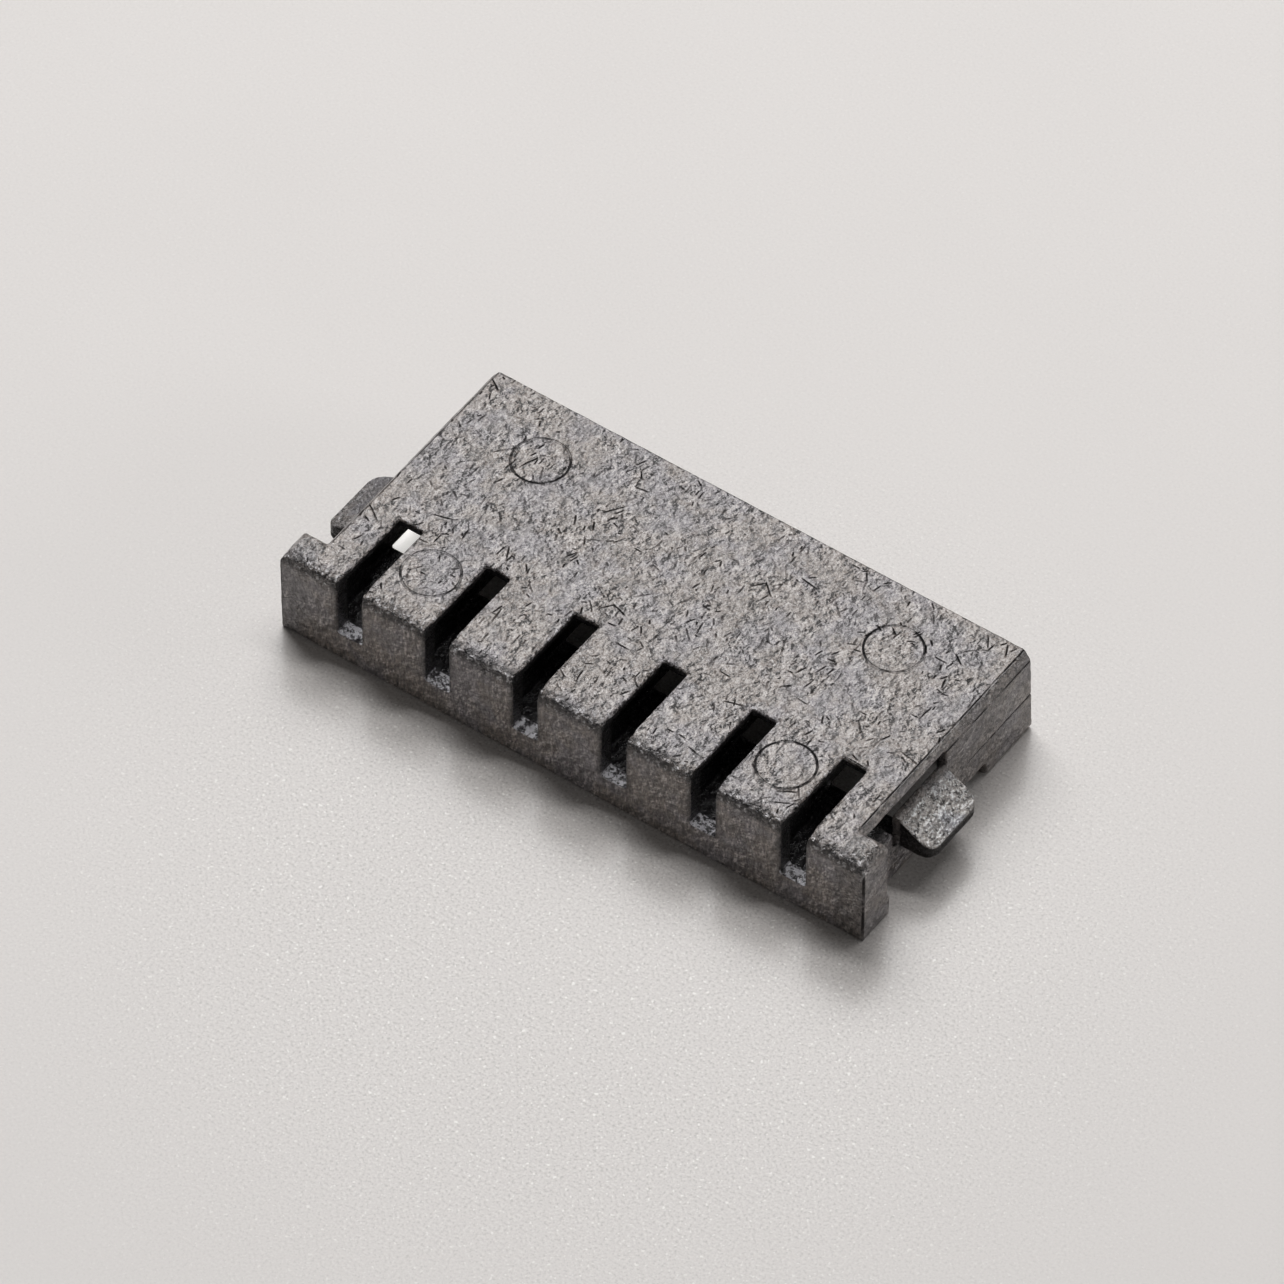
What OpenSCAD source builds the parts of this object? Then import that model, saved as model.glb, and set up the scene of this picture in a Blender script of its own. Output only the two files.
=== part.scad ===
// Six-way low-profile crimp housing for a wire-to-board connector, moulded in one piece.
// The row of positions runs along X, the slotted front faces -Y, the wires enter from +Y,
// and the housing stands on its underside at Z = 0, which is pressed down onto the board header.

/* [Row of positions] */
// Number of wire positions in the row
circuits = 6; // [2:1:12]
// Spacing of the wire positions
pitch = 1.2; // [1.1:0.05:1.6]

/* [Body] */
// Depth from the slotted front face to the wire face
depth = 3.65; // [3.3:0.05:4.6]
// Height from the underside to the top plate
height = 1.22; // [1.1:0.02:1.6]
// Width of the bevel along both end edges of the top plate
bevel_w = 0.095; // [0.04:0.005:0.12]
// Height of the bevel along both end edges of the top plate
bevel_h = 0.13; // [0.04:0.01:0.2]
// Chamfer along both end edges of the underside
base_chamfer = 0.05; // [0.02:0.01:0.08]
// Radius of the rounded front edge of the top plate
front_round = 0.07; // [0.03:0.01:0.1]
// How much further out each end wall stands at the underside than at the bevel
side_draft = 0.045; // [0:0.005:0.06]

/* [Walls] */
// Thickness of the top plate over the cavities
top_wall = 0.13; // [0.1:0.01:0.2]
// Thickness of the wall between two neighbouring cavities
partition = 0.15; // [0.1:0.01:0.3]
// Thickness of the wall at each end of the row
end_wall = 0.14; // [0.12:0.005:0.25]
// Thickness of the slotted front wall
front_wall = 0.22; // [0.15:0.01:0.4]
// Thickness of the floor under the front of each cavity
front_floor = 0.25; // [0.12:0.01:0.35]
// Thickness of the floor under the wire end of each cavity
rear_floor = 0.2; // [0.1:0.01:0.3]

/* [Front chambers] */
// Width of the narrow front chamber of each cavity
chamber_w = 0.8; // [0.5:0.02:0.9]
// Distance from the front face to the step where the chamber widens into the cavity
chamber_back = 0.96; // [0.7:0.02:1.1]

/* [Front slots] */
// Width of a slot
slot_w = 0.33; // [0.2:0.01:0.5]
// Length of a slot in the top plate, from the front face
slot_len = 1.2; // [0.8:0.05:1.8]
// Height of the sill that closes a slot at the bottom of the front wall
slot_sill = 0.4; // [0.36:0.02:0.7]
// Radius of the rounded lead-in at both sides of a slot's mouth
mouth_round = 0.03; // [0.01:0.01:0.08]

/* [Wire entries] */
// Width and depth of the bevel round each wire entry
entry_bevel = 0.05; // [0.01:0.01:0.06]

/* [Header channel] */
// Distance from the front face to the channel across the underside
channel_front = 1.5; // [1.2:0.05:1.9]
// Width of the channel
channel_w = 1.25; // [0.8:0.05:1.5]
// Depth of the channel
channel_h = 0.22; // [0.1:0.01:0.35]

/* [End flanges] */
// How far a flange reaches past the end wall
flange_reach = 0.285; // [0.1:0.005:0.5]
// Depth of a flange from the front face
flange_depth = 0.48; // [0.3:0.01:0.6]
// Radius of the rounded end of a flange's top
flange_round = 0.12; // [0.05:0.01:0.2]
// Bevel along the rear edge of a flange's top
flange_bevel = 0.08; // [0.02:0.01:0.15]
// How far the foot of a flange stands out behind it
foot_step = 0.05; // [0.01:0.01:0.08]
// Height of the foot of a flange
foot_h = 0.3; // [0.1:0.02:0.5]

/* [Lock windows] */
// Height of the end wall in front of the step of the window
front_sill = 0.7; // [0.55:0.01:0.9]
// Height of the end wall behind the ear
window_sill = 0.5; // [0.46:0.01:0.6]
// Distance from the front face to the rear of the window
window_back = 2; // [1.8:0.02:2.4]

/* [Lock ears] */
// How far an ear reaches past the end wall
ear_reach = 0.455; // [0.3:0.005:0.6]
// Length of an ear along the end wall
ear_len = 0.94; // [0.6:0.01:1]
// Height of the flat underside of an ear
ear_base = 0.43; // [0.34:0.01:0.45]
// Height of the blunt outer face of an ear
ear_lip = 0.18; // [0.1:0.01:0.25]
// Height of the crest at the top of the slope of an ear
ear_crest = 0.87; // [0.8:0.01:1]
// How far the crest lies inside the outer face of the end wall
crest_inset = 0.015; // [0.005:0.005:0.05]
// How far the root of an ear reaches into the end wall
ear_root = 0.08; // [0.06:0.01:0.11]
// Radius of the rounded outer corners of an ear
ear_round = 0.15; // [0.05:0.01:0.2]

/* [Ejector marks] */
// Diameter of a mark on the top plate
mark_d = 0.7; // [0.4:0.02:0.9]
// Width of the fine ring that is left by the pin
mark_line = 0.02; // [0.01:0.005:0.04]
// Depth of the ring
mark_depth = 0.012; // [0.005:0.001:0.03]
// Distance of the front marks from the front face
mark_front = 0.74; // [0.6:0.02:1]
// Distance of the rear marks from the front face
mark_rear = 2.81; // [2:0.05:3.1]

/* [Hidden] */
// Number of sides that stand for a full circle
$fn = 48;
// How far a cut runs past the surface that it opens
over = 0.05;
cavity_w = pitch - partition;
ceiling = height - top_wall;
row_x = (circuits - 1) * pitch / 2;
body_x = row_x + cavity_w / 2 + end_wall;
base_x = body_x + side_draft;
flange_x = body_x + flange_reach;
ear_front = window_back - ear_len;
ear_x = body_x + ear_reach;
channel_back = channel_front + channel_w;
mark_x = row_x - pitch / 2;

// Draws an outline in X and Z as a bar that runs from one depth to another
module bar_y(from_y, to_y) {
    translate([0, to_y, 0])
        rotate([90, 0, 0])
            linear_extrude(to_y - from_y)
                children();
}

// Draws an outline in Y and Z as a bar of a given width, centred in X
module bar_x(width) {
    rotate([90, 0, 90])
        linear_extrude(width, center = true)
            children();
}

// Draws one copy at each wire position
module each_position() {
    for (i = [0 : circuits - 1])
        translate([i * pitch - row_x, 0, 0])
            children();
}

// Draws a copy at the right end of the row and its mirror image at the left end
module both_ends() {
    for (side = [0, 1])
        mirror([side, 0, 0])
            children();
}

// The sliver that turns a square corner at the origin into a rounded one
module corner_sliver(radius) {
    difference() {
        translate([-over, -over])
            square(radius + over);
        translate([radius, radius])
            circle(radius);
    }
}

// Outline across the body: end walls that lean out a little towards the underside, bevelled at the top
module body_outline() {
    polygon([
        [base_chamfer - base_x, 0],
        [base_x - base_chamfer, 0],
        [base_x, base_chamfer],
        [body_x, height - bevel_h],
        [body_x - bevel_w, height],
        [bevel_w - body_x, height],
        [-body_x, height - bevel_h],
        [-base_x, base_chamfer]
    ]);
}

// Outline across both flanges, with rounded tops
module flange_outline() {
    translate([-flange_x, 0])
        square([2 * flange_x, height - flange_round]);
    translate([flange_round - flange_x, 0])
        square([2 * (flange_x - flange_round), height]);
    both_ends()
        translate([flange_x - flange_round, height - flange_round])
            circle(flange_round);
}

// Outline of a flange in Y and Z: a foot at the back and a bevel along the top
module flange_side() {
    polygon([
        [0, 0],
        [flange_depth + foot_step, 0],
        [flange_depth + foot_step, foot_h],
        [flange_depth, foot_h],
        [flange_depth, height - flange_bevel],
        [flange_depth - flange_bevel, height],
        [0, height]
    ]);
}

module blank() {
    bar_y(0, depth)
        body_outline();
    intersection() {
        bar_y(0, flange_depth + foot_step)
            flange_outline();
        bar_x(2 * flange_x)
            flange_side();
    }
}

// Outline in Y and Z of the wide part of a cavity, open to the channel and to the rear
module cavity_outline() {
    polygon([
        [chamber_back, front_floor],
        [channel_front, front_floor],
        [channel_front, -over],
        [channel_back, -over],
        [channel_back, rear_floor],
        [depth + over, rear_floor],
        [depth + over, ceiling],
        [chamber_back, ceiling]
    ]);
}

// Space that holds one terminal: a narrow front chamber and a wider cavity behind it
module cavity() {
    translate([-chamber_w / 2, front_wall, front_floor])
        cube([chamber_w, chamber_back - front_wall + over, ceiling - front_floor]);
    bar_x(cavity_w)
        cavity_outline();
}

// Bevelled mouth of a wire entry: a slope above and below crossed with a slope at each side
module entry_mouth() {
    flare = entry_bevel + over;
    intersection() {
        bar_x(pitch)
            polygon([
                [depth - entry_bevel, rear_floor],
                [depth + over, rear_floor - flare],
                [depth + over, ceiling + flare],
                [depth - entry_bevel, ceiling]
            ]);
        linear_extrude(height + over)
            polygon([
                [-cavity_w / 2, depth - entry_bevel],
                [cavity_w / 2, depth - entry_bevel],
                [cavity_w / 2 + flare, depth + over],
                [-cavity_w / 2 - flare, depth + over]
            ]);
    }
}

// Slot through the front wall and the top plate, with a rounded mouth
module slot() {
    translate([0, 0, slot_sill])
        linear_extrude(height - slot_sill + over) {
            translate([-slot_w / 2, -over])
                square([slot_w, slot_len + over]);
            both_ends()
                translate([slot_w / 2, 0])
                    corner_sliver(mouth_round);
        }
}

module top_front_edge() {
    bar_x(2 * flange_x + over)
        translate([0, height])
            mirror([0, 1])
                corner_sliver(front_round);
}

// Channel across the underside that takes the contact row of the board header
module channel() {
    translate([-base_x - over, channel_front, -over])
        cube([2 * (base_x + over), channel_w, channel_h + over]);
}

// Window through the end wall, with a step down to the ear
module window() {
    chamber_end = row_x + chamber_w / 2;
    cavity_end = row_x + cavity_w / 2;
    translate([chamber_end - over, flange_depth, front_sill])
        cube([base_x - chamber_end + 2 * over, window_back - flange_depth, ceiling - front_sill]);
    translate([cavity_end - over, chamber_back, window_sill])
        cube([base_x - cavity_end + 2 * over, window_back - chamber_back, ceiling - window_sill]);
}

// Fine ring left on the top plate by an ejector pin
module ejector_mark() {
    translate([0, 0, height - mark_depth])
        difference() {
            cylinder(d = mark_d, h = mark_depth + over);
            cylinder(d = mark_d - 2 * mark_line, h = mark_depth + over);
        }
}

// Section across an ear: flat underside, blunt lip and a slope up to the crest beside the window
module ear_section() {
    polygon([
        [body_x - ear_root, ear_base],
        [ear_x, ear_base],
        [ear_x, ear_base + ear_lip],
        [body_x - crest_inset, ear_crest],
        [body_x - ear_root, ear_crest]
    ]);
}

module ear_plan() {
    root_x = body_x - ear_root;
    translate([root_x, ear_front])
        square([ear_x - ear_round - root_x, ear_len]);
    translate([root_x, ear_front + ear_round])
        square([ear_x - root_x, ear_len - 2 * ear_round]);
    for (y = [ear_front + ear_round, window_back - ear_round])
        translate([ear_x - ear_round, y])
            circle(ear_round);
}

module ear() {
    intersection() {
        linear_extrude(height)
            ear_plan();
        bar_y(ear_front, window_back)
            ear_section();
    }
}

module housing() {
    color([0.3, 0.29, 0.29])
        translate([0, -depth / 2, 0]) {
            difference() {
                blank();
                each_position() {
                    cavity();
                    entry_mouth();
                    slot();
                }
                top_front_edge();
                channel();
                both_ends() {
                    window();
                    for (y = [mark_front, mark_rear])
                        translate([mark_x, y, 0])
                            ejector_mark();
                }
            }
            both_ends()
                ear();
        }
}

housing();
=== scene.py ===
"""Looks of a moulded crimp housing: softened edges, grain, fibre marks, floor, light and camera."""

import itertools
import math

import bpy
import numpy as np
from mathutils import Matrix, Vector


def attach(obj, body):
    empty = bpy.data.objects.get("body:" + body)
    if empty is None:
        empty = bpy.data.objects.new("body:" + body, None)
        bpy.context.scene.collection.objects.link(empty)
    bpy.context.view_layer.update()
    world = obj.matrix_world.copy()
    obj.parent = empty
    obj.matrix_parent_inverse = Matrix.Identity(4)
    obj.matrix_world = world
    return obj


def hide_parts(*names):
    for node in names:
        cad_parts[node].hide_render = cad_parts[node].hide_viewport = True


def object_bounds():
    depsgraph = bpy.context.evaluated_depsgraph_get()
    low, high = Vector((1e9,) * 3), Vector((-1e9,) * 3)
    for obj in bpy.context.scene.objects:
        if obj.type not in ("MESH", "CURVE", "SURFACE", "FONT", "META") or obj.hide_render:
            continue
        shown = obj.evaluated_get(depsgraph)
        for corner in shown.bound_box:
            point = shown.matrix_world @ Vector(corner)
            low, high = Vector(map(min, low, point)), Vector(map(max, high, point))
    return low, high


MM = 0.001
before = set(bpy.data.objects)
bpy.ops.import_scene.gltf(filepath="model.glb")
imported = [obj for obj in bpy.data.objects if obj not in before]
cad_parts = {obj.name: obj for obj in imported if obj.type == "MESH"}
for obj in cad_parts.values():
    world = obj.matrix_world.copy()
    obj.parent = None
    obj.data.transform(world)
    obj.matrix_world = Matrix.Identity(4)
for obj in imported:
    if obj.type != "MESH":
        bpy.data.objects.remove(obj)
cad_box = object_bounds()
scene = bpy.context.scene
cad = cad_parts["housing"]
low, high = (np.array(corner) / MM for corner in cad_box)
front, top = low[1], high[2]
whole_depth = high[1] - front

# Sizes of the solid that the skin's detail follows, in millimetres. Depths start at the front face.
PITCH = 1.2
ROW_HALF = 3.6
SLOT_HALF, SLOT_LENGTH = 0.165, 1.2
SILL_Z, SILL_DEPTH = 0.4, 0.22
WALL_X = 3.665
WALL_SEAM_Z, WALL_SEAM_FRONT, WALL_SEAM_FADE = 0.55, 2.3, 0.2
BEVEL_W, BEVEL_H = 0.095, 0.13
FLANGE_X, FLANGE_DEPTH = 3.94, 0.48
EAR_FRONT, EAR_BACK = 1.06, 2.0
EAR_SEAM_Z = 0.5
EAR_TIP_X, EAR_TIP_Z, EAR_SLOPE = 4.12, 0.61, 0.59
EAR_TOP = EAR_TIP_Z + EAR_TIP_X * EAR_SLOPE

# Mesh of the skin: size of the cells that it is rebuilt from, and how it is softened and thinned out
VOXEL = 0.017
SOFTENING = 0.6
SKIN_TRIANGLES = 190000

# Wear cut into the skin: its zone, its depth and the width of its bumps in millimetres, and a seed
WEAR = (
    ("outer", 0.004, 0.1, 1),
    ("outer", 0.002, 0.045, 2),
    ("worn", 0.03, 0.05, 3),
    ("lip", 0.022, 0.07, 4),
    ("lip", 0.014, 0.04, 10),
    ("sill", 0.03, 0.05, 5),
    ("ear_slope", 0.014, 0.05, 6),
)
STREAK_CELL, STREAK_DEPTH = (0.035, 0.035, 0.2), 0.003
RING_DEPTH, RING_WIDTH, RING_BREAK = 0.011, 0.011, 0.16
SEAM_DEPTH, SEAM_WIDTH, EAR_SEAM_WIDTH = 0.012, 0.012, 0.014
SEAM_WAVE, SEAM_WAVE_LENGTH = 0.012, 0.5

# Large odd numbers that scatter a cell's place into an even draw from 0 to 1
CELL_FACTORS = (73856093, 19349663, 83492791)
FIRST_MIX, SECOND_MIX = 2654435761, 2246822519
WORD = 0xFFFFFFFF

# Colours of the plastic, among them painted shade, painted highlights, painted glints and painted light
WARM, COOL = (0.34, 0.287, 0.255), (0.307, 0.28, 0.298)
MOTTLE = (0.16, 0.143, 0.136)
# Painted shade and a painted highlight for the wrinkles, and painted shade for creases, fibre grooves and
# the ears' flanks
SHADE, HOLLOW_SHADE, LIT_SIDE = (0.05, 0.044, 0.042), (0.01, 0.009, 0.009), (0.72, 0.668, 0.643)
GRAIN_DARK, GRAIN_BRIGHT = (0.07, 0.062, 0.06), (0.72, 0.695, 0.69)
# The second colour here is a painted highlight on one edge of each fibre mark
STREAK, PAINTED_EDGE_HIGHLIGHT = (0.06, 0.053, 0.05), (0.6, 0.57, 0.565)
LINE, EDGE, LIP = (0.006, 0.005, 0.006), (0.02, 0.018, 0.018), (0.04, 0.035, 0.034)
# The first colour here is painted shade that darkens the end walls
END_WALL_SHADE, WALL_PIT = (0.06, 0.053, 0.051), (0.03, 0.027, 0.026)
# The bright colour here is painted glints on the worn rims; the dark one is for pits
WORN_PIT, WORN_RIM_GLINT = (0.008, 0.007, 0.008), (0.88, 0.86, 0.88)
# Painted shade: near black for the surfaces inside the cavities and slots
INSIDE_SHADE = (0.02, 0.018, 0.019)
# The bright sill colour is painted glints; the dark and grey ones are for pits
SILL_DARK, SILL_GREY, SILL_GLINT = (0.015, 0.013, 0.015), (0.16, 0.15, 0.16), (0.95, 0.93, 0.98)
# Painted shade darkens the left ear and painted light brightens the right ear, as factors on the colour
UNCHANGED, LEFT_EAR_SHADE, RIGHT_EAR_LIGHT = (1.0, 1.0, 1.0), (0.66, 0.68, 0.69), (1.62, 1.76, 1.84)

# Noises of the plastic: bumps in a millimetre, detail and roughness
WRINKLES = (8.5, 3.0, 0.65)
CALM_AREAS = (2.4, 2.0, 0.6)
GRAIN = (30.0, 2.0, 0.6)
RUBBLE = (17.0, 3.0, 0.7)
STREAKS = (24.0, 2.0, 0.65)
MOTTLING = (4.0, 3.0, 0.65)
PATCHES = (1.9, 3.0, 0.6)
LINE_BREAKS = (2.6, 3.0, 0.65)
FIBRE_CLUSTERS = (1.8, 3.0, 0.6)
RAGGED_EDGE = (18.0, 2.0, 0.6)

# Fibre marks: cells in a millimetre, then half a mark's length and width in cells, and a seed
FIBRES = ((2.6, 0.5, 0.034, 3.0), (4.4, 0.48, 0.055, 11.0), (7.0, 0.45, 0.09, 29.0))

# Stretch of the wrinkles and the streaks, and the step in millimetres that a wrinkle's slope is read over
WRINKLE_STRETCH, STREAK_STRETCH = (1.0, 0.85, 0.85), (1.0, 1.0, 0.35)
WRINKLE_STEP = (0.0075, 0.0012, -0.005)
BUMP_HEIGHT = 0.05

# Colours and finish of the floor, where its sparkle fades out in millimetres, and its reach in metres
FLOOR_TONES = ((0.69, 0.656, 0.634), (0.72, 0.686, 0.664))
FLOOR_BRIGHT, FLOOR_DARK, FLOOR_SPECK = (0.95, 0.93, 0.9), (0.33, 0.313, 0.297), (1.0, 0.98, 0.95)
FLOOR_ROUGHNESS, FLOOR_SHEEN = 0.22, 0.3
SPARKLE_CENTRE, SPARKLE_NEAR, SPARKLE_FAR = (1.5, -3.0, 0.0), 3.0, 8.0
FLOOR_REACH = 1.5

# Painted light on the floor below the channel, a glow that only camera rays see: the channel's middle and
# half width along Y, and the glow's reach from the left end wall, in millimetres
CHANNEL_Y, CHANNEL_HALF = 0.3, 0.62
LIGHT_REACH, LIGHT_FADE = 0.35, 0.02
LIGHT_COLOUR, LIGHT_STRENGTH = (1.0, 0.985, 0.95), 0.58

# Lamps: azimuth and elevation in degrees, then distance, width and depth in metres, and power in watts
LAMPS = {
    "key": (222, 49, 0.16, 0.12, 0.075, 0.157),
    "above": (196, 73, 0.2, 0.17, 0.026, 0.133),
    "side": (115, 14, 0.2, 0.08, 0.05, 0.055),
}
SKY_COLOUR, SKY_STRENGTH = (1.0, 0.985, 0.97, 1.0), 0.08


def corners_of(mesh, kind="co"):
    """The places of a mesh's corners, or their normals."""
    values = np.zeros(len(mesh.vertices) * 3, np.float32)
    mesh.vertices.foreach_get(kind, values)
    return values.reshape(-1, 3).astype(float)


def set_corners(mesh, co):
    mesh.vertices.foreach_set("co", co.astype(np.float32).ravel())
    mesh.update()


def modified(mesh, kind, settings):
    """A new mesh: the given one under one modifier."""
    holder = bpy.data.objects.new("holder", mesh)
    scene.collection.objects.link(holder)
    modifier = holder.modifiers.new(kind.lower(), kind)
    for name, value in settings.items():
        setattr(modifier, name, value)
    evaluated = holder.evaluated_get(bpy.context.evaluated_depsgraph_get())
    made = bpy.data.meshes.new_from_object(evaluated)
    bpy.data.objects.remove(holder)
    bpy.data.meshes.remove(mesh)
    return made


def softened(mesh, amount):
    """Corners moved towards the middle of their neighbours, which rounds the edges."""
    ends = np.zeros(len(mesh.edges) * 2, np.int32)
    mesh.edges.foreach_get("vertices", ends)
    a, b = ends.reshape(-1, 2).T
    co = corners_of(mesh)
    count = np.bincount(ends, minlength=len(co))
    total = [np.bincount(a, co[b, k], len(co)) + np.bincount(b, co[a, k], len(co)) for k in range(3)]
    return co + amount * (np.array(total) / count - co.T).T


def field(co, size, seed):
    """Smooth noise from 0 to 1 at each point, with bumps about size across."""
    place = co / size + seed * 31.7
    cell = np.floor(place).astype(np.int64)
    share = place - cell
    share = share * share * (3 - 2 * share)
    value = np.zeros(len(co))
    for corner in itertools.product((0, 1), repeat=3):
        at = (cell + corner) * CELL_FACTORS
        bits = ((at[:, 0] ^ at[:, 1] ^ at[:, 2]) * FIRST_MIX) & WORD
        bits = ((bits ^ (bits >> 15)) * SECOND_MIX) & WORD
        value += np.where(corner, share, 1 - share).prod(1) * (bits ^ (bits >> 13)) / 2**32
    return value


def step(values, start, end):
    """0 before start, 1 after end and an even curve between them."""
    t = np.clip((values - start) / (end - start), 0, 1)
    return t * t * (3 - 2 * t)


def groove(off, width):
    """1 in the middle of a groove, fading to both sides."""
    return np.exp(-((off / width) ** 2))


def ring_marks(co):
    """Which corners lie at the bottom of the ejector rings, and the centre and radius of each ring."""
    behind = co[:, 1] > front + 0.1
    sunk = behind & (co[:, 2] < top - 0.004) & (co[:, 2] > top - 0.03)
    levels, counts = np.unique(co[sunk, 2], return_counts=True)
    bottom = behind & (np.abs(co[:, 2] - levels[counts.argmax()]) < 0.001)
    points = co[bottom, :2]
    found = []
    for side, end in itertools.product((-1, 1), repeat=2):
        group = points[(points[:, 0] * side > 0) & (points[:, 1] * end > 0)]
        centre = (group.min(0) + group.max(0)) / 2
        found.append((centre, np.linalg.norm(group - centre, axis=1).mean()))
    return bottom, found


def zones_of(co, normal, worn):
    """How far each corner belongs to each kind of surface, from 0 to 1."""
    across, y, z = np.abs(co[:, 0]), co[:, 1] - front, co[:, 2]
    up = step(normal[:, 2], 0.3, 0.8)
    ear = step(across, WALL_X + 0.005, WALL_X + 0.03) * step(y, EAR_FRONT - 0.05, EAR_FRONT - 0.02)
    ear = ear * (1 - step(y, EAR_BACK + 0.02, EAR_BACK + 0.05)) * step(z, 0.38, 0.4)
    lip = (1 - step(y, 0.08, 0.26)) * step(z, top - 0.16, top - 0.06)
    sill = (1 - step(np.abs(z - SILL_Z), 0.02, 0.05)) * (1 - step(y, SILL_DEPTH, SILL_DEPTH + 0.03)) * up
    sill = sill * (across < ROW_HALF) * (y > 0.005)
    plate = step(z, top - 0.03, top - 0.015)
    face = 1 - step(y, 0.015, 0.03)
    end_wall = step(across, WALL_X - 0.12, WALL_X - 0.1)
    outer = np.maximum.reduce([plate, face, end_wall, ear, sill])
    return {
        "outer": outer,
        "worn": outer * worn,
        "lip": lip,
        "sill": sill,
        "ear": ear,
        "ear_slope": ear * up,
    }


def relief(co, normal, worn):
    """How far each corner lies below the smooth surface: grain, worn edges, rings and parting lines."""
    zone = zones_of(co, normal, worn)
    y, z = co[:, 1] - front, co[:, 2]
    depth = np.zeros(len(co))
    for name, deep, size, seed in WEAR:
        depth += zone[name] * deep * field(co, size, seed)
    depth += STREAK_DEPTH * (1 - step(y, 0.01, 0.02)) * field(co / STREAK_CELL, 1.0, 7)
    broken = 0.35 + 0.65 * field(co, RING_BREAK, 8)
    on_plate = step(z, top - 0.02, top - 0.01)
    for centre, radius in rings:
        off = np.linalg.norm(co[:, :2] - centre, axis=1) - radius
        depth += RING_DEPTH * groove(off, RING_WIDTH) * on_plate * broken
    seam = WALL_SEAM_Z + SEAM_WAVE * (field(co, SEAM_WAVE_LENGTH, 9) - 0.5)
    on_wall = step(np.abs(co[:, 0]), WALL_X - 0.02, WALL_X)
    on_wall = on_wall * step(y, WALL_SEAM_FRONT, WALL_SEAM_FRONT + WALL_SEAM_FADE)
    depth += SEAM_DEPTH * on_wall * groove(z - seam, SEAM_WIDTH)
    depth += SEAM_DEPTH * zone["ear"] * groove(z - EAR_SEAM_Z, EAR_SEAM_WIDTH)
    return depth


# The skin: the solid with its rings filled, rebuilt from small cells, softened, worn and thinned out
source = np.array([v.co for v in cad.data.vertices], float) / MM
ring_bottom, rings = ring_marks(source)
source[ring_bottom, 2] = top
skin_mesh = cad.data.copy()
set_corners(skin_mesh, source)
skin_mesh = modified(skin_mesh, "REMESH", {"mode": "VOXEL", "voxel_size": VOXEL})
before = corners_of(skin_mesh)
co = softened(skin_mesh, SOFTENING)
worn = step(np.linalg.norm(co - before, axis=1), 0.001, 0.004)
set_corners(skin_mesh, co)
normal = corners_of(skin_mesh, "normal")
co = co - normal * relief(co, normal, worn)[:, None]
set_corners(skin_mesh, np.clip(co, low, high))
share = SKIN_TRIANGLES / (2 * len(skin_mesh.polygons))
skin_mesh = modified(skin_mesh, "DECIMATE", {"ratio": share, "use_collapse_triangulate": True})
co = np.clip(corners_of(skin_mesh), low, high)
set_corners(skin_mesh, co * MM)
skin_mesh.shade_smooth()
skin = bpy.data.objects.new("housing_skin", skin_mesh)
scene.collection.objects.link(skin)
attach(skin, "root")
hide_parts("housing")


class Nodes:
    """A material's node tree. Each call adds one node or a few."""

    def __init__(self, name):
        self.material = bpy.data.materials.new(name)
        self.material.use_nodes = True
        self.tree = self.material.node_tree
        self.shader = self.tree.nodes["Principled BSDF"]

    def set(self, node, inputs):
        for name, value in inputs.items():
            socket = node.inputs[name]
            if isinstance(value, bpy.types.NodeSocket):
                self.tree.links.new(value, socket)
            elif socket.type == "RGBA":
                socket.default_value = (*value, 1.0)
            else:
                socket.default_value = value

    def add(self, kind, inputs, **settings):
        node = self.tree.nodes.new("ShaderNode" + kind)
        for name, value in settings.items():
            setattr(node, name, value)
        self.set(node, inputs)
        return node

    def math(self, operation, a, b=0.0, clamp=False):
        return self.add("Math", {0: a, 1: b}, operation=operation, use_clamp=clamp).outputs[0]

    def product(self, first, *others):
        for other in others:
            first = self.math("MULTIPLY", first, other)
        return first

    def largest(self, first, *others):
        for other in others:
            first = self.math("MAXIMUM", first, other)
        return first

    def vector(self, operation, inputs):
        return self.add("VectorMath", inputs, operation=operation).outputs[0]

    def measure(self, operation, a, b):
        return self.add("VectorMath", {0: a, 1: b}, operation=operation).outputs["Value"]

    def ease(self, value, start, end, at_start=0.0, at_end=1.0):
        inputs = {"Value": value, 1: start, 2: end, 3: at_start, 4: at_end}
        return self.add("MapRange", inputs, interpolation_type="SMOOTHSTEP").outputs[0]

    def fall(self, value, start, end):
        return self.ease(value, start, end, 1.0, 0.0)

    def near(self, value, target, half, soft):
        """1 where a value is within half of its target, fading over soft."""
        off = self.math("ABSOLUTE", self.math("SUBTRACT", value, target))
        return self.fall(off, half, half + soft)

    def blend(self, share, a, b):
        return self.add("Mix", {0: share, 6: a, 7: b}, data_type="RGBA").outputs[2]

    def coats(self, colour, layers):
        """A colour under thin coats, each with the share that it covers."""
        for share, coat in layers:
            colour = self.blend(share, colour, coat)
        return colour

    def noise(self, place, scale, detail=2.0, roughness=0.5):
        inputs = {"Vector": place, "Scale": scale, "Detail": detail, "Roughness": roughness}
        return self.add("TexNoise", inputs).outputs["Fac"]

    def millimetres(self):
        """The shading point in the object's own frame."""
        return self.vector("SCALE", {0: self.add("TexCoord", {}).outputs["Object"], "Scale": 1 / MM})


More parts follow.
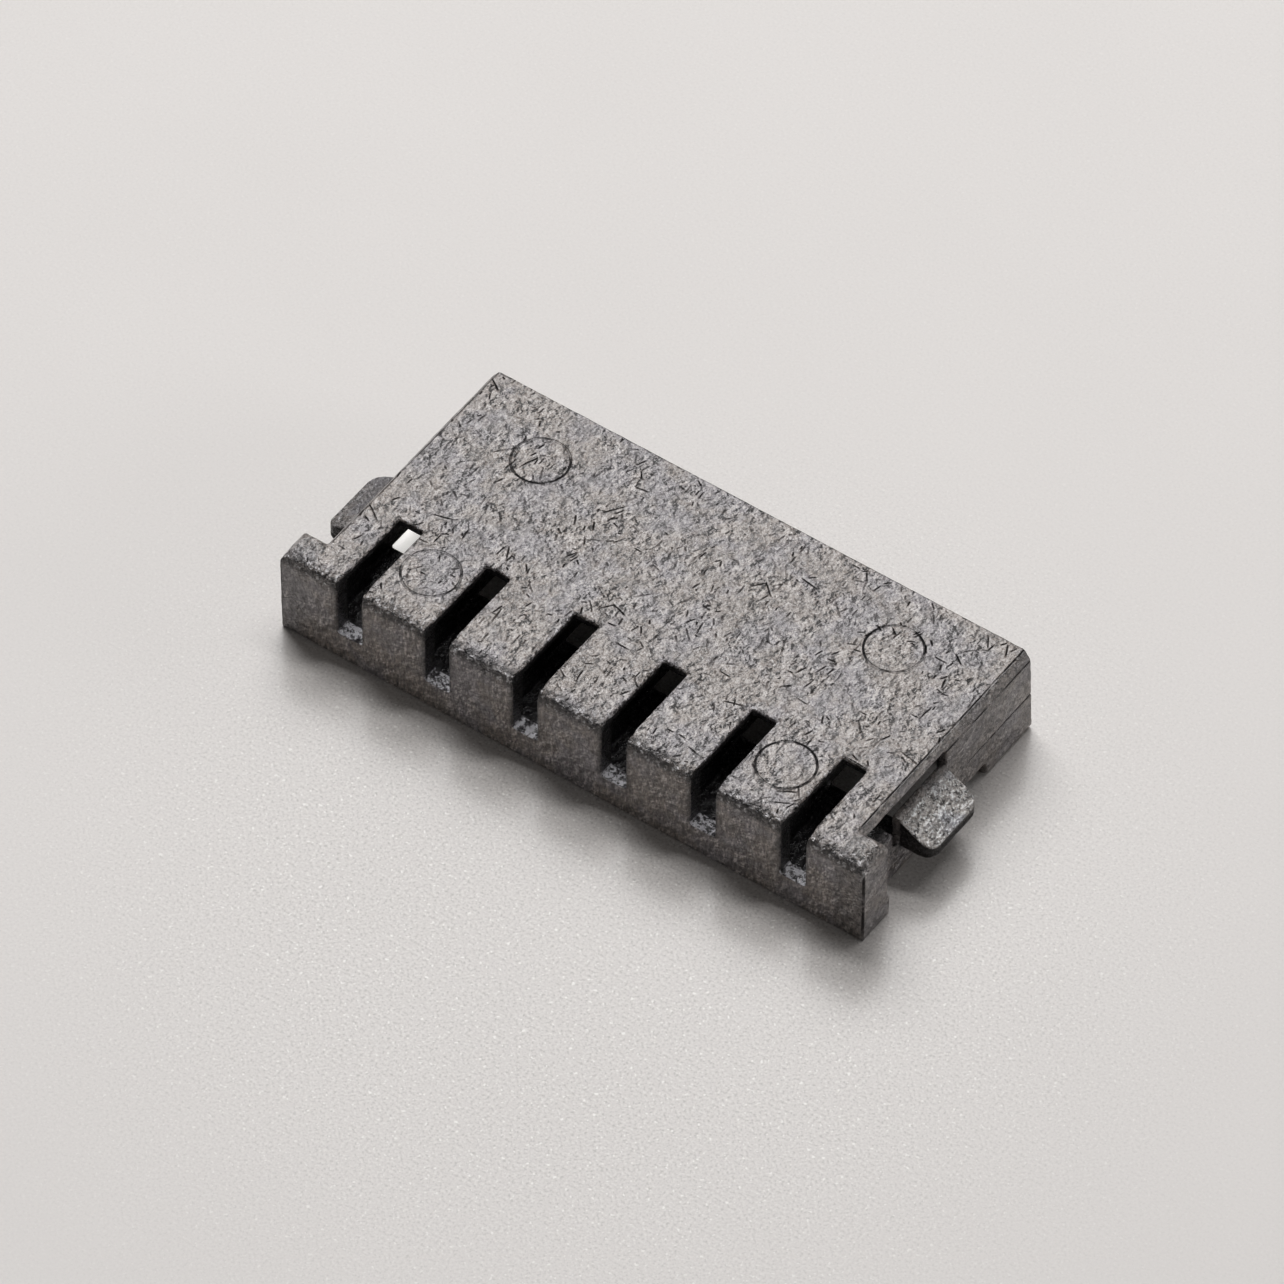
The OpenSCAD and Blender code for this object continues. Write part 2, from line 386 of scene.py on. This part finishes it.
def marks(g, place, cells, half_length, half_width, seed):
    """One short groove in each cell of a random grid, most of them along the depth, with painted shade in
    the groove and a painted highlight on its lit edge.
    """
    at = g.vector("MULTIPLY_ADD", {0: place, 1: (cells, cells, 0), 2: (seed, seed * 1.7, 0)})
    cell = g.add("TexVoronoi", {"Vector": at, "Scale": 1.0}, voronoi_dimensions="2D")
    turn, strong, long = g.add("SeparateColor", {"Color": cell.outputs["Color"]}).outputs
    local = g.vector("SUBTRACT", {0: at, 1: cell.outputs["Position"]})
    lean = g.product(g.math("SUBTRACT", turn, 0.5), 2.0)
    lean = g.math("ADD", g.product(g.math("POWER", lean, 3.0), 0.9), g.product(lean, 0.7))
    turned = g.add("VectorRotate", {"Vector": local, "Angle": lean}, rotation_type="Z_AXIS").outputs[0]
    side, along, _ = g.add("SeparateXYZ", {0: turned}).outputs
    reach = g.product(g.ease(long, 0.0, 1.0, 0.35, 1.0), half_length)
    along = g.math("DIVIDE", g.math("ABSOLUTE", along), reach)
    strength = g.product(g.fall(along, 0.5, 1.0), g.ease(strong, 0.2, 0.75))
    dark = g.near(side, 0.0, half_width * 0.3, half_width * 0.7)
    lit = g.near(side, half_width * 1.7, half_width * 0.3, half_width * 0.7)
    return g.product(dark, strength), g.product(lit, strength)


def wrinkles(g, place):
    """A crumpled height, and how steeply it rises against the light."""
    heights = []
    for sign in (-1, 1):
        moved = g.vector("ADD", {0: place, 1: [sign * w for w in WRINKLE_STEP]})
        heights.append(g.noise(moved, *WRINKLES))
    return g.product(g.math("ADD", *heights), 0.5), g.math("SUBTRACT", *heights)


def thin_lines(g, across, y, z, plate, face, end):
    """Dark lines: edges of the bevel, parting line, flange corners, rear edge and ejector rings."""
    body = g.ease(y, FLANGE_DEPTH, FLANGE_DEPTH + 0.03)
    seam = g.ease(y, WALL_SEAM_FRONT, WALL_SEAM_FRONT + WALL_SEAM_FADE)
    found = [
        g.product(g.near(across, WALL_X - BEVEL_W, 0.003, 0.01), plate, body),
        g.product(g.near(z, top - BEVEL_H, 0.003, 0.012), end, body),
        g.product(g.near(z, WALL_SEAM_Z, 0.002, 0.012), end, seam),
        g.product(g.near(across, FLANGE_X, 0.006, 0.02), face),
        g.product(g.near(y, whole_depth, 0.006, 0.02), g.largest(plate, end), 0.9),
    ]
    folded = g.add("CombineXYZ", {"X": across, "Y": y}).outputs[0]
    for centre, radius in rings:
        if centre[0] > 0:
            off = g.measure("DISTANCE", folded, (centre[0], centre[1] - front, 0))
            found.append(g.product(g.near(off, radius, 0.009, 0.008), plate))
    return g.largest(*found)


def places(g):
    """The shading point in millimetres, and how far it belongs to each kind of surface, from 0 to 1."""
    place = g.millimetres()
    x, y, z = g.add("SeparateXYZ", {0: place}).outputs
    across = g.math("ABSOLUTE", x)
    y = g.math("SUBTRACT", y, front)

    ragged = g.product(g.noise(place, *RAGGED_EDGE), 0.03)
    plate = g.ease(g.math("ADD", z, ragged), top - 0.035, top - 0.02)
    face = g.fall(y, 0.02, 0.035)
    end = g.ease(across, WALL_X - 0.105, WALL_X - 0.085)
    rear = g.ease(y, whole_depth - 0.03, whole_depth - 0.015)
    under = g.fall(z, 0.02, 0.035)

    sill = g.product(g.ease(y, 0.01, 0.02), g.fall(y, SILL_DEPTH, SILL_DEPTH + 0.02))
    sill = g.product(sill, g.near(z, SILL_Z - 0.03, 0.04, 0.03), g.math("LESS_THAN", across, ROW_HALF))
    lip = g.product(g.fall(y, 0.05, 0.2), g.ease(z, top - 0.2, top - 0.08))
    ear = g.product(g.ease(across, WALL_X + 0.02, WALL_X + 0.04), g.ease(y, EAR_FRONT - 0.1, EAR_FRONT))
    ear = g.product(ear, g.fall(y, EAR_BACK + 0.02, EAR_BACK + 0.08), g.ease(z, 0.35, 0.39))
    slope = g.math("ADD", z, g.product(across, EAR_SLOPE))
    beside = g.math("SUBTRACT", PITCH / 2 - SLOT_HALF, g.math("PINGPONG", x, PITCH / 2))
    outside = g.largest(beside, g.math("SUBTRACT", y, SLOT_LENGTH))
    rim = g.product(g.fall(outside, 0.0, 0.05), plate)
    return {
        "place": place,
        "plate": plate,
        "face": face,
        "outer": g.largest(plate, face, end, rear, under),
        "sill": sill,
        "lip": lip,
        # the front face beside the slot openings, for painted shade
        "edge": g.product(g.fall(beside, 0.0, 0.09), face, g.ease(z, SILL_Z - 0.02, SILL_Z + 0.06)),
        "worn": g.largest(lip, g.product(rim, 0.9)),
        "wall": g.product(end, g.math("SUBTRACT", 1.0, ear)),
        "ear": ear,
        # the ears' faces below their top slope, for painted shade
        "ear_flank_shade": g.product(ear, g.fall(slope, EAR_TOP - 0.05, EAR_TOP - 0.02)),
        "right": g.ease(x, -WALL_X, WALL_X),
        "lines": thin_lines(g, across, y, z, plate, face, end),
    }


def plastic():
    """Dark grey glass-filled plastic: crumpled skin, fibre marks, grain and patches of tint, with painted
    shade and painted highlights on the wrinkles and fibre marks, painted shade inside, on the end walls,
    beside the slots and on the ears' flanks, painted light on the front face and the right ear, and painted
    glints on the sills and worn rims.
    """
    g = Nodes("moulded_plastic")
    at = places(g)
    place, plate, face = at["place"], at["plate"], at["face"]

    # Fibre marks lie in clusters on the plate, and fewer of them on the sides; their grooves get painted
    # shade and one edge a painted highlight
    flat_x = g.measure("DOT_PRODUCT", place, (1, 0, -0.9))
    flat_y = g.measure("DOT_PRODUCT", place, (0, 1, 1.1))
    flat = g.add("CombineXYZ", {"X": flat_x, "Y": flat_y}).outputs[0]
    swirl = g.add("TexNoise", {"Vector": flat, "Scale": 3.0, "Detail": 1.0}).outputs["Color"]
    swirl = g.vector("SUBTRACT", {0: swirl, 1: (0.5, 0.5, 0.5)})
    bent = g.vector("MULTIPLY_ADD", {0: swirl, 1: (0.07, 0.07, 0.0), 2: flat})
    cluster = g.ease(g.noise(flat, *FIBRE_CLUSTERS), 0.42, 0.58, 0.1, 1.0)
    cluster = g.product(cluster, g.ease(plate, 0.0, 1.0, 0.3, 1.0))
    grooves, edges = zip(*(marks(g, bent, *layer) for layer in FIBRES))
    groove_depth_and_shade = g.product(g.largest(*grooves), cluster)
    painted_edge_highlights = g.product(g.largest(*edges), cluster)

    # Painted shade on the wrinkles' side turned from the light, a painted highlight on their lit side and
    # painted shade in their thin creases, weaker off the plate and in calm areas
    lumps, lean = wrinkles(g, g.vector("MULTIPLY", {0: place, 1: WRINKLE_STRETCH}))
    calm = g.ease(g.noise(place, *CALM_AREAS), 0.4, 0.6, 0.5, 1.0)
    steep = g.product(g.ease(plate, 0.0, 1.0, 0.4, 1.0), g.ease(at["ear"], 0.0, 1.0, 1.0, 0.5))
    crease_shade = g.product(g.ease(lean, 0.028, 0.054, 0.0, 0.9), calm, steep)
    lit_side = g.product(g.ease(lean, -0.035, -0.07, 0.0, 0.7), calm)

    grain = g.noise(place, *GRAIN)
    rubble = g.noise(place, *RUBBLE)
    streaks = g.noise(g.vector("MULTIPLY", {0: place, 1: STREAK_STRETCH}), *STREAKS)
    mottle = g.noise(place, *MOTTLING)
    patches = g.noise(place, *PATCHES)
    broken = g.ease(g.noise(place, *LINE_BREAKS), 0.38, 0.58, 0.25, 1.0)
    lines = g.product(at["lines"], broken)

    skin_coats = [
        (g.ease(mottle, 0.28, 0.68, 0.4, 0.0), MOTTLE),
        # painted shade and a painted highlight from each wrinkle's slope against the light, and painted
        # shade in its creases
        (g.ease(lean, -0.04, 0.06, 0.0, 0.45), SHADE),
        (crease_shade, HOLLOW_SHADE),
        (lit_side, LIT_SIDE),
        (g.ease(grain, 0.3, 0.45, 0.5, 0.0), GRAIN_DARK),
        (g.ease(grain, 0.55, 0.7, 0.0, 0.4), GRAIN_BRIGHT),
        (g.product(g.ease(streaks, 0.35, 0.55, 0.55, 0.0), face), STREAK),
        # a painted highlight on one edge of each fibre mark, and painted shade in its groove
        (g.product(painted_edge_highlights, 0.35), PAINTED_EDGE_HIGHLIGHT),
        (g.product(groove_depth_and_shade, 0.95), HOLLOW_SHADE),
    ]
    edge_coats = [
        (lines, LINE),
        (g.product(at["lip"], face, 0.65), EDGE),
        (g.product(at["lip"], plate, 0.4), LIP),
        # painted shade on the front face beside the slot openings
        (g.product(at["edge"], 0.75), EDGE),
        # painted shade darkening the end walls
        (g.product(at["wall"], 0.3), END_WALL_SHADE),
    ]
    pit_coats = [
        (g.product(at["wall"], g.ease(rubble, 0.36, 0.5, 0.8, 0.0)), WALL_PIT),
        (g.product(at["ear"], g.ease(rubble, 0.39, 0.47, 0.92, 0.0)), EDGE),
        # painted shade on the ears' faces below their top slope
        (g.product(at["ear_flank_shade"], 0.95), HOLLOW_SHADE),
        (g.product(at["worn"], g.ease(rubble, 0.4, 0.5, 0.95, 0.0)), WORN_PIT),
        # painted glints on the worn rims
        (g.product(at["worn"], g.ease(rubble, 0.55, 0.63, 0.0, 0.9)), WORN_RIM_GLINT),
    ]
    sill_coats = [
        (at["sill"], g.blend(g.ease(rubble, 0.4, 0.48), SILL_DARK, SILL_GREY)),
        # painted glints on the sills
        (g.product(at["sill"], g.ease(rubble, 0.47, 0.54)), SILL_GLINT),
    ]
    body = g.coats(g.blend(g.ease(patches, 0.42, 0.62), WARM, COOL), skin_coats)
    # Painted light: the front face is made up to 1.4 times brighter
    body = g.vector("SCALE", {0: body, "Scale": g.ease(face, 0.0, 1.0, 1.0, 1.4)})
    body = g.coats(body, edge_coats)
    # Painted shade on the left ear and painted light on the right ear
    ear_light_and_shade = g.blend(at["right"], LEFT_EAR_SHADE, RIGHT_EAR_LIGHT)
    body = g.vector("MULTIPLY", {0: body, 1: g.blend(at["ear"], UNCHANGED, ear_light_and_shade)})
    body = g.coats(body, pit_coats)
    # Painted shade: everything off the outer surfaces, in the cavities and slots, takes the near-black
    # inside colour
    body = g.coats(g.blend(at["outer"], INSIDE_SHADE, body), sill_coats)

    height = g.math("ADD", lumps, g.product(grain, 0.3))
    height = g.math("SUBTRACT", height, g.product(groove_depth_and_shade, 0.4))
    height = g.math("SUBTRACT", height, g.product(at["lines"], 0.3))
    height = g.math("ADD", height, g.product(at["worn"], grain, 0.5))
    bump = g.add("Bump", {"Height": height, "Strength": 1.0, "Distance": BUMP_HEIGHT * MM}).outputs[0]
    rough = g.math("ADD", g.ease(grain, 0.3, 0.7, 0.36, 0.26), g.product(groove_depth_and_shade, 0.35))
    rough = g.math("SUBTRACT", rough, g.product(at["ear"], 0.1), clamp=True)
    # less specular reflection in the grooves, creases, lines and ear flanks, as painted shade
    hollow = g.largest(groove_depth_and_shade, g.product(crease_shade, 0.75), lines, at["ear_flank_shade"])
    sheen = g.ease(hollow, 0.0, 1.0, 1.0, 0.1)
    g.set(g.shader, {"Base Color": body, "Roughness": rough, "Normal": bump, "Specular IOR Level": sheen})
    return g.material


def pale_floor():
    """Warm white sheet with a fine sparkle, a soft gloss, and painted light below the channel's open left
    end: a glow that only camera rays see.
    """
    g = Nodes("pale_floor")
    place = g.millimetres()
    away = g.measure("DISTANCE", place, SPARKLE_CENTRE)
    close = g.ease(away, SPARKLE_NEAR, SPARKLE_FAR, 0.5, 0.08)
    fine = g.noise(place, 28.0, 2.0, 0.7)
    specks = g.ease(g.noise(place, 20.0, 1.0, 0.5), 0.66, 0.72)
    sparkle = [
        (g.product(g.ease(fine, 0.5, 0.72), close), FLOOR_BRIGHT),
        (g.product(g.ease(fine, 0.5, 0.28), close), FLOOR_DARK),
        (g.product(specks, g.ease(away, SPARKLE_NEAR, SPARKLE_FAR, 0.75, 0.08)), FLOOR_SPECK),
    ]
    base = g.coats(g.blend(g.noise(place, 0.3), *FLOOR_TONES), sparkle)
    x, y, _ = g.add("SeparateXYZ", {0: place}).outputs
    # painted light: a glow on the floor below the channel, seen only by camera rays
    below = g.ease(x, -WALL_X - 0.45, -WALL_X + 0.15, 0.0, LIGHT_STRENGTH)
    below = g.product(below, g.fall(x, LIGHT_REACH - WALL_X, LIGHT_REACH - WALL_X + LIGHT_FADE))
    below = g.product(below, g.near(y, CHANNEL_Y, CHANNEL_HALF - 0.15, 0.15))
    seen = g.add("LightPath", {}).outputs["Is Camera Ray"]
    g.set(g.shader, {"Emission Color": LIGHT_COLOUR, "Emission Strength": g.product(below, seen)})
    g.set(g.shader, {"Base Color": base, "Roughness": FLOOR_ROUGHNESS, "Specular IOR Level": FLOOR_SHEEN})
    return g.material


skin_mesh.materials.clear()
skin_mesh.materials.append(plastic())

floor_mesh = bpy.data.meshes.new("floor")
floor_corners = [(FLOOR_REACH * sx, FLOOR_REACH * sy, 0) for sx, sy in ((-1, -1), (1, -1), (1, 1), (-1, 1))]
floor_mesh.from_pydata(floor_corners, [], [(0, 1, 2, 3)])
floor_mesh.materials.append(pale_floor())
floor = bpy.data.objects.new("floor", floor_mesh)
scene.collection.objects.link(floor)


def direction(azimuth, elevation):
    """Unit vector from the object. Azimuth 0 is in front of the slotted face, and 90 is to its right."""
    a, e = math.radians(azimuth), math.radians(elevation)
    return Vector((math.sin(a) * math.cos(e), -math.cos(a) * math.cos(e), math.sin(e)))


def softbox(name, azimuth, elevation, distance, width, depth, watts):
    """A lamp that looks at the object and doesn't show in the picture."""
    data = bpy.data.lights.new(name, "AREA")
    data.shape = "RECTANGLE"
    data.size, data.size_y = width, depth
    data.energy = watts
    lamp = bpy.data.objects.new(name, data)
    back = direction(azimuth, elevation)
    lamp.location = back * distance
    lamp.rotation_mode = "QUATERNION"
    lamp.rotation_quaternion = back.to_track_quat("Z", "Y")
    lamp.visible_camera = False
    scene.collection.objects.link(lamp)


for lamp_name, lamp_settings in LAMPS.items():
    softbox(lamp_name, *lamp_settings)

world = bpy.data.worlds.new("studio")
world.use_nodes = True
sky = world.node_tree.nodes["Background"]
sky.inputs["Color"].default_value = SKY_COLOUR
sky.inputs["Strength"].default_value = SKY_STRENGTH
scene.world = world


def photo_camera():
    """The camera that fits the part's edges in the photograph. Lengths are in millimetres."""
    azimuth, elevation, roll = 35.417, 48.777, math.radians(0.114)
    distance, focal_px, frame_px = 120.253, 10847.3, 1284
    target, shift_x, shift_y = Vector((0, 0.055, 0.6)), -0.279, -0.001
    back = direction(azimuth, elevation)
    right = Vector((math.cos(math.radians(azimuth)), math.sin(math.radians(azimuth)), 0))
    up = back.cross(right)
    place = target + right * shift_x + up * shift_y + back * distance
    turned_right = right * math.cos(roll) + up * math.sin(roll)
    turned_up = up * math.cos(roll) - right * math.sin(roll)
    data = bpy.data.cameras.new("photo")
    data.sensor_width = 36.0
    data.lens = focal_px / frame_px * data.sensor_width
    data.clip_start, data.clip_end = 0.01, 10.0
    camera = bpy.data.objects.new("photo", data)
    turn = Matrix((turned_right, turned_up, back)).transposed().to_4x4()
    camera.matrix_world = Matrix.Translation(place * MM) @ turn
    scene.collection.objects.link(camera)
    scene.camera = camera


photo_camera()
scene.view_settings.view_transform = "Standard"
